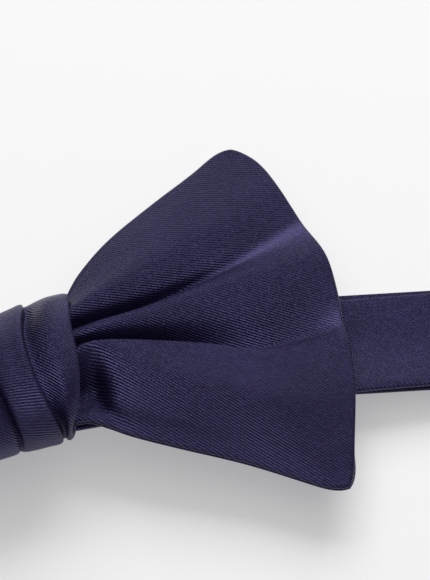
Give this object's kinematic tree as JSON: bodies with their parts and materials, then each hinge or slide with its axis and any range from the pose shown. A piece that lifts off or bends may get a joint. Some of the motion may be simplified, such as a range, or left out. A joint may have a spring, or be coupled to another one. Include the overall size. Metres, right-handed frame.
{
  "type": "bow tie",
  "caption": "Ready-tied bow tie with pleated wings, a wrapped knot and an adjustable neck band with hook, eye and slide adjuster, laid face up.",
  "frame": {"origin": "on the surface the bow tie lies on, at the middle of its footprint, under the knot", "axes": "+X along the neck band's upper run towards its fold, +Y across the band, +Z out of the bow's face"},
  "size_m": [0.2253, 0.084, 0.0224],
  "materials": {
    "navy_twill": "twill weave with a soft sheen",
    "lining": "matt non-woven interlining",
    "sewing_thread": "twisted polyester thread",
    "nickel_plate": "nickel-plated pressed steel"
  },
  "bodies": {
    "band": {"neck_band_cover": "navy_twill", "neck_band_interlining": "lining", "eye_end_stitches": "sewing_thread", "adjusting_band_lower": "navy_twill"},
    "keeper": {"band_keeper": "navy_twill", "keeper_tack": "sewing_thread"},
    "bow": {"bow_front_cover": "navy_twill", "bow_interlining": "lining", "bow_back_cover": "navy_twill", "waist_binding": "sewing_thread", "knot_padding": "lining", "knot_wrap": "navy_twill", "knot_stitches": "sewing_thread"},
    "eye": {"eye_plate": "nickel_plate"},
    "hook_end": {"hook_fold": "navy_twill", "adjusting_band_upper": "navy_twill"},
    "hook": {"hook_plate": "nickel_plate"},
    "adjuster": {"adjuster_frame": "nickel_plate", "adjuster_band_end": "navy_twill", "adjuster_stitches": "sewing_thread"}
  },
  "joints": [
    {"name": "bow_slide", "type": "slide", "parent": "band", "child": "keeper", "axis": [1, 0, 0], "range_m": [-0.015, 0.015]},
    {"name": "bow_swivel", "type": "hinge", "parent": "keeper", "child": "bow", "pos_m": [0, 0, 0.0088], "axis": [0, 0, 1], "range_deg": [-14, 4]},
    {"name": "eye_swing", "type": "hinge", "parent": "band", "child": "eye", "pos_m": [-0.09978, -0.004, 0.0024], "axis": [0, 1, 0], "range_deg": [0, 140]},
    {"name": "band_length", "type": "slide", "parent": "band", "child": "hook_end", "axis": [-0.9914, 0.1305, 0], "range_m": [-0.04, 0.01], "deforming": ["adjusting_band_lower"]},
    {"name": "adjuster_run", "type": "slide", "parent": "hook_end", "child": "adjuster", "axis": [-0.9914, 0.1305, 0], "range_m": [-0.04, 0.01], "deforming": ["adjusting_band_upper"]},
    {"name": "hook_swing", "type": "hinge", "parent": "hook_end", "child": "hook", "pos_m": [-0.09365, 0.02376, 0.0024], "axis": [0.1305, 0.9914, 0], "range_deg": [0, 140]}
  ],
  "couplings": [
    {"joint": "adjuster_run", "follows": "band_length", "ratio": 1}
  ]
}
